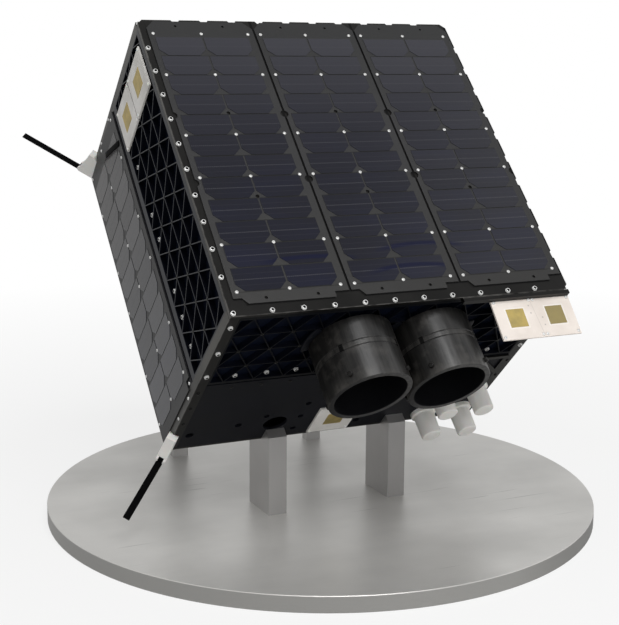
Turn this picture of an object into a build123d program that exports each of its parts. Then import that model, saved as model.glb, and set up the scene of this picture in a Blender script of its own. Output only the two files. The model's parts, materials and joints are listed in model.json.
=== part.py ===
from build123d import *
import os
from math import cos, radians, sin, sqrt

# An earth-observation microsatellite, box-shaped and tilted over on its round display plinth.
# Millimetres. The row frame has +X along the body's width, +Y to the back and +Z up, with its
# origin at the middle of the plinth's underside. The body is drawn in a frame of its own:
# w across the width, l down the long side from the back edge, h from the solar face inwards.

# Body
WIDTH = 579.0
LENGTH = 582.0
HEIGHT = 395.0
TILT = 46.0                     # angle of the solar face below the horizontal
BODY_SHIFT = -20.5              # the body's middle, across the plinth
EDGE_Y = -62.0                  # the lowest edge of the body
EDGE_RISE = 126.0               # the same edge above the plinth
PAST = 1.0                      # how far an open cut runs past its edge

# Plates and rails
DECK = 6.0                      # solar deck and bottom plate
DECK_CORNER = 9.0               # cut off the deck's corners, save the front left one
NOTCH = (15.0, 8.0, 5.5)        # round each screw in the deck's back and right edges: mouth, floor and depth
NOTCH_FIRST = (66.0, 64.0)      # first notch along the back and along the right edge
NOTCH_COUNT = 10
WALL = 12.0                     # isogrid panels
SKIN = 5.0                      # plain lower walls
RAIL = 16.0                     # square corner rails
UPPER = 202.0                   # foot of the isogrid panels on the sides
UPPER_END = 190.0               # the same on the front and back
GAP = 3.0                       # dark joint between upper and lower walls

# Isogrid: triangles of equal sides between thin ribs
GRID = 50.0
RIB = 1.6
POCKET = 10.0
GRID_ROWS = 4
GRID_MARGIN = 3.0               # plain strip beside the rails
GRID_LEAST = 60.0               # area under which a clipped pocket is left solid

# Solar panels on the deck
PANEL_COUNT = 3
PANEL_WIDTH = 185.0
PANEL_PITCH = 188.86
PANEL_FIRST = 12.0
PANEL_TOP = 5.0
PANEL_TOP_CORNER = (14.0, 15.0) # cut off the back corners, along and down
PANEL_FOOT = 563.0
PANEL_NOTCH = 10.0
PANEL_NOTCH_LEFT = (13.0, 21.0) # start and end of the slanted step at the foot
PANEL_NOTCH_RIGHT = 24.0
PANEL_BOARD = 2.0
PANEL_SIDE_HOLE_OUT = 2.0                   # how far these holes' middles lie outside the edge
PANEL_SIDE_HOLES = (208.0, 342.0, 7.0)      # two places and the radius
PANEL_SEAM_HOLES = (204.5, 372.0, 3.2)      # the same, between the two columns of cells
PANEL_END_HOLES = ((15.6, 2.2), (555.0, 2.6))
PANEL_END_HOLE_W = (50.5, 133.5)            # from the panel's left edge
CELL = (80.15, 40.15)
CELL_CROP = 13.0
CELL_THICK = 0.5
CELL_PITCH = (82.88, 41.89)
CELL_FIRST = (21.6, 41.0)       # from the panel's pitch line, and from the back edge
CELL_ROWS = 12
CELL_COLUMNS = 2

# Solar panels on the sides
SIDE_BOARD = (13.0, 569.0, 208.0, 393.0)
SIDE_CORNER = 15.0              # cut square out of the front corner next to the isogrid
SIDE_SEAM_HOLES = (189.0, 362.0, 3.2)       # two places along the seam, and the radius
SIDE_CELL_FIRST = (46.0, 223.4)

# Holes in the plain front wall: place across and inwards, and radius
FRONT_HOLES = (
    (29.0, 351.0, 7.0), (110.0, 336.0, 6.0), (155.0, 316.0, 5.0), (178.0, 344.0, 21.0), (221.0, 288.0, 5.0),
    (220.0, 329.0, 5.0), (219.0, 370.0, 5.0), (339.0, 369.0, 6.0))

# Telescope baffles
BAFFLE_W = (222.0, 358.5)
BAFFLE_H = 90.0
BAFFLE_R = 66.3
BAFFLE_BORE = 57.2
BAFFLE_LENGTH = 103.0
BAFFLE_FLOOR = 6.0
BAFFLE_SEAT = 10.0              # top of the ledge that holds the lens
BAFFLE_CHAMFER = 1.0
BAFFLE_GROOVES = (38.0, 47.0)
GROOVE = (2.0, 1.0)             # width and depth
LENS = (52.0, 3.8, 1.0)         # radius, thickness and bevel of the flat front lens

# White radomes
RADOME_W = (472.0, 544.5)
RADOME_H = (297.0, 370.5)
RADOME_FLANGE = (23.0, 7.5, 1.0)    # radius, thickness and bevel
RADOME_TUBE = (17.6, 49.5, 1.6)     # radius, height above the wall and bevel of the tip

# Patch antennas: each board from and to, along and inwards on its face, and the patch on it likewise
PATCH_BOARD = 3.0
PATCH_THICK = 0.6
SIDE_BOARDS = ((40.0, 123.0, 20.0, 102.0), (40.0, 123.0, 105.0, 186.0))
SIDE_PATCHES = ((63.5, 99.5, 43.0, 79.0), (63.5, 99.5, 127.5, 163.5))
FRONT_BOARDS = ((250.0, 326.0, 310.0, 388.0),)
FRONT_PATCHES = ((272.0, 305.0, 330.0, 364.0),)

# Shelf board with two patches, under the deck's front edge
SHELF_BAR = (383.0, 578.0, 7.0)     # from and to across the width, and how far it stands out
SHELF_BAR_FOOT = (0.5, 8.5)
SHELF_W = 433.5
SHELF_SIZE = (145.0, 73.5, 3.0)
SHELF_DROOP = 5.8                   # degrees below the deck's plane
SHELF_PATCHES = ((21.6, 53.4), (94.0, 125.4))
SHELF_PATCH_REACH = (22.0, 53.2)

# Gusset in the front face's corner, under the foot of the isogrid
GUSSET = (502.6, 254.0, 3.0)        # its point along the width, its foot and its thickness
GUSSET_RIM = 7.5

# Separation ring on the bottom plate, with a lip for a clamp band
RING_R = (182.0, 196.0, 200.0)      # bore, neck and lip
RING_RISE = (7.0, 10.0, 12.0)       # top of the neck, of the lip's slope and of the ring

# Plinth and posts
PLINTH_R = 480.0
PLINTH_THICK = 26.5
PLINTH_CHAMFER = 1.0
POST_X = (-125.0, 102.0)
POST_WIDTH = 33.0
POST_FRONT = 33.0
POST_BACK = 50.0
PRONG = 30.0
STAY_X = (-163.0, 120.0)
STAY = (30.0, 20.0)
STAY_Y = 290.0

# Blade antennas: white brackets over the two left bottom corners, and blades that fold up on a pin
ANTENNAS = (("front", LENGTH, 49.2), ("rear", 0.0, -42.0))      # corner, and heading off the width
BRACKET_HEIGHT = 53.0
BRACKET_TOP = 11.0              # reach of the flat top
BRACKET_BELLY = (15.9, 31.5)    # a point of the hollow slope
BRACKET_TOE = (22.5, 12.5)      # foot of the slope
BRACKET_ROOT = 16.0             # behind the corner, before the body is cut out of it
BRACKET_THICK = 16.6
FORK_R = 5.5
FORK_SLOT = 9.0
FORK_ROOF = 11.1
PIN_REACH = 20.5
PIN_R = 1.5
PIN_PLAY = 0.05
KNUCKLE_R = 5.1
KNUCKLE_WIDTH = 8.4
BLADE = (11.4, 1.4)
BLADE_RISE = 0.4
BLADE_REACH = (26.5, 144.0)

OUT = "parts"
os.makedirs(OUT, exist_ok=True)

tilt = radians(TILT)
along = Vector(0, -cos(tilt), -sin(tilt))
inward = Vector(0, sin(tilt), -cos(tilt))
lowest = Vector(BODY_SHIFT - WIDTH / 2, EDGE_Y, PLINTH_THICK + EDGE_RISE)
corner = lowest - along * LENGTH - inward * HEIGHT
body_frame = Plane(origin=corner, x_dir=(1, 0, 0), z_dir=inward)

# Faces of the body: a plane with its normal pointing along +h, +w or -l, and the side that is inside
top_face = (Plane(origin=(0, 0, 0), x_dir=(1, 0, 0), z_dir=(0, 0, 1)), 1)
left_face = (Plane(origin=(0, 0, 0), x_dir=(0, 1, 0), z_dir=(1, 0, 0)), 1)
right_face = (Plane(origin=(WIDTH, 0, 0), x_dir=(0, 1, 0), z_dir=(1, 0, 0)), -1)
front_face = (Plane(origin=(0, LENGTH, 0), x_dir=(1, 0, 0), z_dir=(0, -1, 0)), 1)
back_face = (Plane(origin=(0, 0, 0), x_dir=(1, 0, 0), z_dir=(0, -1, 0)), -1)
bottom_face = (Plane(origin=(0, 0, HEIGHT), x_dir=(1, 0, 0), z_dir=(0, 0, 1)), -1)


def save(name, shape):
    shape.label = name
    export_step(shape, os.path.join(OUT, name + ".step"))


def save_body(name, shape):
    save(name, body_frame.from_local_coords(shape))


def block(w, l, h):
    """A box between pairs of body coordinates."""
    size = (w[1] - w[0], l[1] - l[0], h[1] - h[0])
    return Pos(w[0], l[0], h[0]) * Box(*size, align=(Align.MIN, Align.MIN, Align.MIN))


def plate(face, outline, low, high):
    """An outline on a face, given thickness from low to high, both counted inwards."""
    plane, inside = face
    drawn = plane.offset(inside * low) * outline
    return extrude(drawn, amount=inside * (high - low))


def rectangle(u, v):
    return Pos(u[0], v[0]) * Rectangle(u[1] - u[0], v[1] - v[0], align=(Align.MIN, Align.MIN))


def polygon(points):
    return Polygon(*points, align=None)


def disc(u, v, r):
    return Pos(u, v) * Circle(r)


def triangles(u, v, first_u, first_v):
    """Pockets of an isogrid that fill the window u by v, clipped at its ends."""
    rise = GRID * sqrt(3) / 2
    inset = RIB / 2
    window = rectangle(u, v)
    pockets = []
    for row in range(GRID_ROWS):
        top = first_v + row * rise
        for half in range(-2, 2 * int((u[1] - u[0]) / GRID) + 4):
            left = first_u + half * GRID / 2
            points_down = (half + row) % 2 == 0
            base, tip = (top, top + rise) if points_down else (top + rise, top)
            step = inset if points_down else -inset
            shape = polygon([
                (left + inset * sqrt(3), base + step),
                (left + GRID - inset * sqrt(3), base + step),
                (left + GRID / 2, tip - 2 * step)])
            if left < u[0] or left + GRID > u[1]:
                shape = shape & window
            pockets += [f for f in shape.faces() if f.area > GRID_LEAST] if shape else []
    return pockets


def turned(points, face, u, v):
    """A body of revolution that stands on a face: its points are (radius, height) pairs."""
    plane, inside = face
    profile = make_face(Polyline(*[(r, 0, z) for r, z in points], close=True))
    seat = Plane(origin=plane.from_local_coords((u, v, 0)), x_dir=plane.x_dir, z_dir=plane.z_dir * -inside)
    return seat * revolve(profile, Axis.Z)


# Plinth and posts
save("plinth_disc", chamfer(Cylinder(PLINTH_R, PLINTH_THICK, align=(Align.CENTER, Align.CENTER, Align.MIN))
                            .edges().filter_by(GeomType.CIRCLE), PLINTH_CHAMFER))

for side, x in zip(("left", "right"), POST_X):
    seat = Vector(0, EDGE_Y, PLINTH_THICK + EDGE_RISE)
    prong = seat - inward * PRONG
    lip = prong + along * ((prong.Y - (EDGE_Y - POST_FRONT)) / cos(tilt))
    heel = seat - along * (POST_BACK / cos(tilt))
    outline = Polyline(
        (0, EDGE_Y - POST_FRONT, PLINTH_THICK), lip, prong, seat, heel, (0, EDGE_Y + POST_BACK, PLINTH_THICK),
        close=True)
    profile = Pos(x - POST_WIDTH / 2, 0, 0) * make_face(outline)
    save(f"front_post_{side}", extrude(profile, amount=POST_WIDTH, dir=(1, 0, 0)))

for side, x in zip(("left", "right"), STAY_X):
    near = STAY_Y - STAY[1] / 2
    far = STAY_Y + STAY[1] / 2
    rise = [PLINTH_THICK + EDGE_RISE + (y - EDGE_Y) * sin(tilt) / cos(tilt) for y in (near, far)]
    outline = Polyline(
        (0, near, PLINTH_THICK), (0, near, rise[0]), (0, far, rise[1]), (0, far, PLINTH_THICK), close=True)
    profile = Pos(x - STAY[0] / 2, 0, 0) * make_face(outline)
    save(f"rear_post_{side}", extrude(profile, amount=STAY[0], dir=(1, 0, 0)))

# Deck, bottom plate and corner rails
mouth, floor, depth = NOTCH
tooth = polygon([(-mouth / 2, -PAST), (mouth / 2, -PAST), (mouth / 2, 0), (floor / 2, depth),
                 (-floor / 2, depth), (-mouth / 2, 0)])
deck = rectangle((0, WIDTH), (0, LENGTH))
for step in range(NOTCH_COUNT):
    deck -= Pos(NOTCH_FIRST[0] + step * GRID, 0) * tooth
    deck -= Pos(WIDTH, NOTCH_FIRST[1] + step * GRID) * Rot(0, 0, 90) * tooth
for w, l, turn in ((0, 0, 0), (WIDTH, 0, 90), (WIDTH, LENGTH, 180)):
    corner_cut = polygon([(-PAST, -PAST), (DECK_CORNER + PAST, -PAST), (-PAST, DECK_CORNER + PAST)])
    deck -= Pos(w, l) * Rot(0, 0, turn) * corner_cut
save_body("solar_deck", plate(top_face, deck, 0, DECK))
save_body("bottom_plate", block((0, WIDTH), (0, LENGTH), (HEIGHT - DECK, HEIGHT)))
for name, w, l in (
        ("front_left", 0, LENGTH - RAIL), ("front_right", WIDTH - RAIL, LENGTH - RAIL),
        ("back_left", 0, 0), ("back_right", WIDTH - RAIL, 0)):
    save_body(f"corner_rail_{name}", block((w, w + RAIL), (l, l + RAIL), (DECK, HEIGHT - DECK)))

# Isogrid panels: face, length of its side, foot, then where the grid's first row starts
for name, face, side, foot, first_u, first_v in (
        ("left", left_face, LENGTH, UPPER, -12.9, 14.7),
        ("right", right_face, LENGTH, UPPER, -12.9, 14.7),
        ("front", front_face, WIDTH, UPPER_END, -9.3, 11.6),
        ("back", back_face, WIDTH, UPPER_END, -9.3, 11.6)):
    sheet = plate(face, rectangle((RAIL, side - RAIL), (DECK, foot)), 0, WALL)
    window = (RAIL + GRID_MARGIN, side - RAIL - GRID_MARGIN)
    pockets = triangles(window, (first_v, foot), first_u, first_v)
    # Each pocket is cut to both sides of the face, whichever way its outline runs
    cutters = [extrude(face[0] * Sketch(pocket.wrapped), amount=POCKET, both=True) for pocket in pockets]
    save_body(f"isogrid_{name}", sheet - cutters)

# Plain lower walls
for name, face, side, foot in (
        ("left", left_face, LENGTH, UPPER), ("right", right_face, LENGTH, UPPER),
        ("front", front_face, WIDTH, UPPER_END), ("back", back_face, WIDTH, UPPER_END)):
    outline = rectangle((RAIL, side - RAIL), (foot + GAP, HEIGHT - DECK))
    if name == "front":
        for u, v, r in FRONT_HOLES:
            outline -= disc(u, v, r)
    save_body(f"lower_wall_{name}", plate(face, outline, 0, SKIN))


def cell(u, v):
    """A solar cell with two cropped corners on its far side."""
    wide, deep = CELL
    return polygon([(u, v), (u + wide, v), (u + wide, v + deep - CELL_CROP),
                    (u + wide - CELL_CROP, v + deep), (u + CELL_CROP, v + deep), (u, v + deep - CELL_CROP)])


# Solar panels on the deck
corner_along, corner_down = PANEL_TOP_CORNER
slant_start, slant_end = PANEL_NOTCH_LEFT
cells = []
for column in range(PANEL_COUNT):
    start = PANEL_FIRST + column * PANEL_PITCH
    end = start + PANEL_WIDTH
    notch = PANEL_FOOT - PANEL_NOTCH
    outline = polygon([
        (start, PANEL_TOP + corner_down), (start + corner_along, PANEL_TOP), (end - corner_along, PANEL_TOP),
        (end, PANEL_TOP + corner_down), (end, notch), (end - PANEL_NOTCH_RIGHT, notch),
        (end - PANEL_NOTCH_RIGHT, PANEL_FOOT), (start + slant_end, PANEL_FOOT), (start + slant_start, notch),
        (start, notch)])
    for v in PANEL_SIDE_HOLES[:2]:
        for u in (start - PANEL_SIDE_HOLE_OUT, end + PANEL_SIDE_HOLE_OUT):
            outline -= disc(u, v, PANEL_SIDE_HOLES[2])
    seam = start - PANEL_FIRST + CELL_FIRST[0] + (CELL_PITCH[0] + CELL[0]) / 2
    for v in PANEL_SEAM_HOLES[:2]:
        outline -= disc(seam, v, PANEL_SEAM_HOLES[2])
    for v, r in PANEL_END_HOLES:
        for u in PANEL_END_HOLE_W:
            outline -= disc(start + u, v, r)
    save_body(f"solar_panel_{column + 1}", plate(top_face, outline, -PANEL_BOARD, 0))
    for place in range(CELL_COLUMNS):
        for row in range(CELL_ROWS):
            u = column * PANEL_PITCH + CELL_FIRST[0] + place * CELL_PITCH[0]
            v = CELL_FIRST[1] + row * CELL_PITCH[1]
            cells.append(plate(top_face, cell(u, v), -PANEL_BOARD - CELL_THICK, -PANEL_BOARD))
save_body("solar_cells_top", Compound(children=cells))

# Solar panels on the sides: the cells lie on their sides, cropped towards the front
for name, face in (("left", left_face), ("right", right_face)):
    start, end, upper, foot = SIDE_BOARD
    outline = rectangle((start, end), (upper, foot))
    outline -= rectangle((end - SIDE_CORNER, end + PAST), (upper - PAST, upper + SIDE_CORNER))
    seam = SIDE_CELL_FIRST[1] + (CELL_PITCH[0] + CELL[0]) / 2
    for u in SIDE_SEAM_HOLES[:2]:
        outline -= disc(u, seam, SIDE_SEAM_HOLES[2])
    save_body(f"side_panel_{name}", plate(face, outline, -PANEL_BOARD, 0))
    cells = []
    for place in range(CELL_COLUMNS):
        for row in range(CELL_ROWS):
            u = SIDE_CELL_FIRST[0] + row * CELL_PITCH[1]
            v = SIDE_CELL_FIRST[1] + place * CELL_PITCH[0]
            wide, deep = CELL
            shape = polygon([
                (u, v), (u + deep - CELL_CROP, v), (u + deep, v + CELL_CROP),
                (u + deep, v + wide - CELL_CROP), (u + deep - CELL_CROP, v + wide), (u, v + wide)])
            cells.append(plate(face, shape, -PANEL_BOARD - CELL_THICK, -PANEL_BOARD))
    save_body(f"solar_cells_{name}", Compound(children=cells))

# Telescope baffles and their lenses
barrel = [(0, 0), (BAFFLE_R, 0)]
for rise in BAFFLE_GROOVES:
    wide, deep = GROOVE
    barrel += [(BAFFLE_R, rise), (BAFFLE_R - deep, rise + wide / 2), (BAFFLE_R, rise + wide)]
glass, thick, bevel = LENS
barrel += [(BAFFLE_R, BAFFLE_LENGTH - BAFFLE_CHAMFER), (BAFFLE_R - BAFFLE_CHAMFER, BAFFLE_LENGTH),
           (BAFFLE_BORE + BAFFLE_CHAMFER, BAFFLE_LENGTH), (BAFFLE_BORE, BAFFLE_LENGTH - BAFFLE_CHAMFER),
           (BAFFLE_BORE, BAFFLE_SEAT), (glass, BAFFLE_SEAT), (glass, BAFFLE_FLOOR), (0, BAFFLE_FLOOR)]
lens = [(0, BAFFLE_FLOOR), (glass, BAFFLE_FLOOR), (glass, BAFFLE_FLOOR + thick - bevel),
        (glass - bevel, BAFFLE_FLOOR + thick), (0, BAFFLE_FLOOR + thick)]
for side, w in zip(("left", "right"), BAFFLE_W):
    save_body(f"baffle_{side}", turned(barrel, front_face, w, BAFFLE_H))
    save_body(f"lens_{side}", turned(lens, front_face, w, BAFFLE_H))

# White radomes, two by two
rim, thick, bevel = RADOME_FLANGE
tube, high, tip = RADOME_TUBE
dome = [(0, 0), (rim, 0), (rim, thick - bevel), (rim - bevel, thick), (tube, thick), (tube, high - tip),
        (tube - tip, high), (0, high)]
places = [(w, h) for h in RADOME_H for w in RADOME_W]
for number, (w, h) in enumerate(places):
    save_body(f"radome_{number + 1}", turned(dome, front_face, w, h))

# Gusset in the front face's corner, open in the middle
point, foot, thick = GUSSET
right = WIDTH - RAIL
top = UPPER_END + GAP
outline = polygon([(point, top), (right, top), (right, foot)])
slant = GUSSET_RIM * (1 + sqrt(2))
outline -= polygon([(point + slant, top + GUSSET_RIM), (right - GUSSET_RIM, top + GUSSET_RIM),
                    (right - GUSSET_RIM, foot - slant)])
save_body("front_gusset", plate(front_face, outline, -thick, 0))

# Separation ring on the bottom plate
bore, neck, lip = RING_R
low, slope, top = RING_RISE
ring = [(bore, 0), (neck, 0), (neck, low), (lip, slope), (lip, top), (bore, top)]
save_body("separation_ring", turned(ring, bottom_face, WIDTH / 2, LENGTH / 2))

# Patch antennas
for name, face, boards, patches in (
        ("side", left_face, SIDE_BOARDS, SIDE_PATCHES), ("front", front_face, FRONT_BOARDS, FRONT_PATCHES)):
    for index, (u0, u1, v0, v1) in enumerate(boards):
        board = plate(face, rectangle((u0, u1), (v0, v1)), -PATCH_BOARD, 0)
        save_body(f"patch_board_{name}_{index + 1}", board)
    shapes = [plate(face, rectangle((u0, u1), (v0, v1)), -PATCH_BOARD - PATCH_THICK, -PATCH_BOARD)
              for u0, u1, v0, v1 in patches]
    save_body(f"patches_{name}", Compound(children=shapes))

# Shelf board: a bar under the deck's front edge carries it, drooping a little
droop = radians(SHELF_DROOP)
start, end, stand = SHELF_BAR
bar_top, bar_foot = SHELF_BAR_FOOT
bar = Polyline((start, LENGTH, bar_top), (start, LENGTH + stand, bar_top),
               (start, LENGTH + stand, bar_foot + stand * sin(droop) / cos(droop)), (start, LENGTH, bar_foot),
               close=True)
save_body("shelf_bar", extrude(make_face(bar), amount=end - start, dir=(1, 0, 0)))
wide, deep, thick = SHELF_SIZE
root = thick * sin(droop)
shelf = Plane(origin=(SHELF_W, LENGTH + root, bar_foot + root * sin(droop) / cos(droop)),
              x_dir=(1, 0, 0), z_dir=(0, -sin(droop), cos(droop)))
save_body("shelf_board", extrude(shelf * rectangle((0, wide), (0, deep)), amount=thick))
gold = [extrude(shelf * rectangle(u, SHELF_PATCH_REACH), amount=-PATCH_THICK) for u in SHELF_PATCHES]
save_body("shelf_patches", Compound(children=gold))

# Blade antennas. Each corner's plane has its first axis along the blade and its second towards the deck
for name, l, degrees in ANTENNAS:
    heading = radians(degrees)
    reach = Vector(-cos(heading), sin(heading), 0)
    frame = Plane(origin=(0, l, HEIGHT), x_dir=reach, z_dir=(-reach.Y, reach.X, 0))
    hub = (PIN_REACH, FORK_R)
    slope = ThreePointArc((BRACKET_TOP, BRACKET_HEIGHT), BRACKET_BELLY, BRACKET_TOE)
    wedge = make_face(slope + Polyline(
        BRACKET_TOE, (BRACKET_TOE[0], FORK_R), (PIN_REACH, 0), (-BRACKET_ROOT, 0),
        (-BRACKET_ROOT, BRACKET_HEIGHT - BRACKET_ROOT), (0, BRACKET_HEIGHT), (BRACKET_TOP, BRACKET_HEIGHT)))
    wedge += disc(*hub, FORK_R)
    bracket = extrude(frame * wedge, amount=BRACKET_THICK / 2, both=True)
    slot = rectangle((PIN_REACH - FORK_R, 2 * PIN_REACH), (-PAST, FORK_ROOF))
    bracket -= extrude(frame * slot, amount=FORK_SLOT / 2, both=True)
    bracket -= block((0, WIDTH), (0, LENGTH), (HEIGHT - 2 * BRACKET_HEIGHT, HEIGHT + PAST))
    pin = extrude(frame * disc(*hub, PIN_R), amount=BRACKET_THICK / 2, both=True)
    save_body(f"antenna_bracket_{name}", bracket + pin)

    wide, thin = BLADE
    start, tip = BLADE_REACH
    leaf = disc(*hub, KNUCKLE_R) + rectangle((PIN_REACH, start + PAST), (BLADE_RISE, BLADE_RISE + thin))
    blade = extrude(frame * (leaf - disc(*hub, PIN_R + PIN_PLAY)), amount=KNUCKLE_WIDTH / 2, both=True)
    strip = rectangle((start, tip), (BLADE_RISE, BLADE_RISE + thin))
    save_body(f"antenna_blade_{name}", blade + extrude(frame * strip, amount=wide / 2, both=True))
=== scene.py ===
# %% [markdown]
# # A microsatellite on its display plinth
#
# The real thing is a box of black machined plates, covered with solar cells, that looks out through two
# telescope baffles. Here it leans forward on four posts over a round aluminium plinth. The solid pieces
# come ready made. This lesson gives them their finishes, adds the small fasteners and trim, and sets up
# the light and the camera.

# %% Load the solid pieces
import json
import math

import bpy
from mathutils import Matrix, Vector


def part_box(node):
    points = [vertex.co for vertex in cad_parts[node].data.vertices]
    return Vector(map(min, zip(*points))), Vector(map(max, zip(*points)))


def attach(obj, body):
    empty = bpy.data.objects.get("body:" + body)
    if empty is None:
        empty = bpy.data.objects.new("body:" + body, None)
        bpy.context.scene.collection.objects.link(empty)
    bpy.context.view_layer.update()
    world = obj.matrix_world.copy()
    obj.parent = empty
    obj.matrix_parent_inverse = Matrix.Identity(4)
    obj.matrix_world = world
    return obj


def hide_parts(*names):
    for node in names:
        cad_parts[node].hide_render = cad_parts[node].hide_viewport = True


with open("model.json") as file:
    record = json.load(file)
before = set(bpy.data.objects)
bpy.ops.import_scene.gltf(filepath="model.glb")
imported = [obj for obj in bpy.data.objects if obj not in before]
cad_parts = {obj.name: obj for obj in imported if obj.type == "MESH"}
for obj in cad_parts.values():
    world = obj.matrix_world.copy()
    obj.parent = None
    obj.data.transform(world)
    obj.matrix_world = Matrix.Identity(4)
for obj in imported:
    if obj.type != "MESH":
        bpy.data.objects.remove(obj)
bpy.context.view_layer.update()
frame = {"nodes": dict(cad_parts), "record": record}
nodes = frame["nodes"]

# %% [markdown]
# ## The tilted body has directions of its own
#
# Everything on the body is measured across its width, down its long side and inwards from the solar deck.
# The baffles point down the long side, so the axis of one of them gives that direction, and the cross
# product gives the third. The corner and the sizes come from the boxes of the deck and the bottom plate.

# %% Directions, corner and sizes of the body
MM = 0.001
DECK = 6 * MM
mounts = {mount["name"]: mount for mount in frame["record"]["mounts"]}
ACROSS = Vector((1, 0, 0))
ALONG = Vector(mounts["left_baffle_mouth"]["axis"])
INWARD = ACROSS.cross(ALONG)
deck_low, deck_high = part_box("solar_deck")
plate_low, plate_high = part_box("bottom_plate")
CORNER = Vector((plate_low.x, deck_high.y - DECK * INWARD.y, deck_high.z))
WIDTH = plate_high.x - plate_low.x
LENGTH = (deck_low.y - CORNER.y) / ALONG.y
HEIGHT = (plate_high.y - CORNER.y) / INWARD.y
print(f"body {WIDTH / MM:.1f} by {LENGTH / MM:.1f} by {HEIGHT / MM:.1f} mm")


def place(w, l, h):
    """A point of the body, in metres: across the width, down the long side and in from the deck."""
    return CORNER + ACROSS * w + ALONG * l + INWARD * h


# Each face has a corner, two directions and the way out. The shelf is a face too: it starts at the body's
# front edge, in millimetres across, along and inwards, and droops from there
FACES = {
    "top": (place(0, 0, 0), ACROSS, ALONG, -INWARD),
    "left": (place(0, 0, 0), ALONG, INWARD, -ACROSS),
    "right": (place(WIDTH, 0, 0), ALONG, INWARD, ACROSS),
    "front": (place(0, LENGTH, 0), ACROSS, INWARD, ALONG),
    "back": (place(0, 0, 0), ACROSS, INWARD, -ALONG),
    "bottom": (place(0, 0, HEIGHT), ACROSS, ALONG, INWARD),
}
SHELF_DROOP = math.radians(5.8)
SHELF_START = Vector((433.5, 582.3, 8.53)) * MM
FACES["shelf"] = (
    place(*SHELF_START), ACROSS, ALONG * math.cos(SHELF_DROOP) + INWARD * math.sin(SHELF_DROOP),
    ALONG * math.sin(SHELF_DROOP) - INWARD * math.cos(SHELF_DROOP))


def seat(face, u, v, rise=0.0, turn=0.0):
    """The matrix that stands a piece on a face, in millimetres from the face's corner. Its Z points out."""
    start, first, second, out = FACES[face]
    axes = Matrix((first, out.cross(first), out)).transposed().to_4x4()
    axes.translation = start + (first * u + second * v + out * rise) * MM
    return axes @ Matrix.Rotation(turn, 4, "Z")


# %% [markdown]
# ## Camera
#
# The photograph was taken from a little above the plinth, from the left. A camera fitted to the corners of
# the box and the rim of the disc gives its place, the direction it looks in and its focal length. It leaned
# over by a third of a degree. The shift puts the picture's middle where the fitted centre is.

# %% Put the camera where the photograph was taken
CAMERA_PLACE = Vector((-0.991, -2.0414, 0.7922))
CAMERA_LOOK = Vector((0.4179, 0.8912, -0.1767))
CAMERA_ROLL = math.radians(0.31)
PICTURE = (619, 625)
FOCAL_PIXELS = 1321.9
PICTURE_CENTRE = (303.89, 291.16)

camera_data = bpy.data.cameras.new("camera")
camera_data.sensor_width = 36
camera_data.lens = FOCAL_PIXELS / max(PICTURE) * camera_data.sensor_width
camera_data.shift_x = (PICTURE[0] / 2 - PICTURE_CENTRE[0]) / max(PICTURE)
camera_data.shift_y = (PICTURE_CENTRE[1] - PICTURE[1] / 2) / max(PICTURE)
camera = bpy.data.objects.new("camera", camera_data)
bpy.context.scene.collection.objects.link(camera)
camera.location = CAMERA_PLACE
upright = CAMERA_LOOK.to_track_quat("-Z", "Y").to_matrix().to_4x4()
camera.rotation_euler = (upright @ Matrix.Rotation(CAMERA_ROLL, 4, "Z")).to_euler()
bpy.context.scene.camera = camera
bpy.context.scene.view_settings.view_transform = "Standard"
print(f"lens {camera_data.lens:.1f} mm, shift {camera_data.shift_x:.4f} {camera_data.shift_y:.4f}")

# %% [markdown]
# ## Shader maths in plain Python
#
# A finish is easier to read as a sum than as a tree of nodes. `Wire` holds the output of a node, and the
# signs + - * / on it add Math nodes. `Finish` is one material, and its `node` method adds any other node.

# %% A class for a socket's value, and one for a finish


class Wire:
    """The value of one socket in a finish."""

    def __init__(self, finish, socket):
        self.finish = finish
        self.socket = socket

    def __add__(self, other):
        return self.finish.math("ADD", self, other)

    def __sub__(self, other):
        return self.finish.math("SUBTRACT", self, other)

    def __mul__(self, other):
        return self.finish.math("MULTIPLY", self, other)

    def __truediv__(self, other):
        return self.finish.math("DIVIDE", self, other)

    def __radd__(self, other):
        return self.finish.math("ADD", other, self)

    def __rsub__(self, other):
        return self.finish.math("SUBTRACT", other, self)

    def __rmul__(self, other):
        return self.finish.math("MULTIPLY", other, self)


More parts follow.
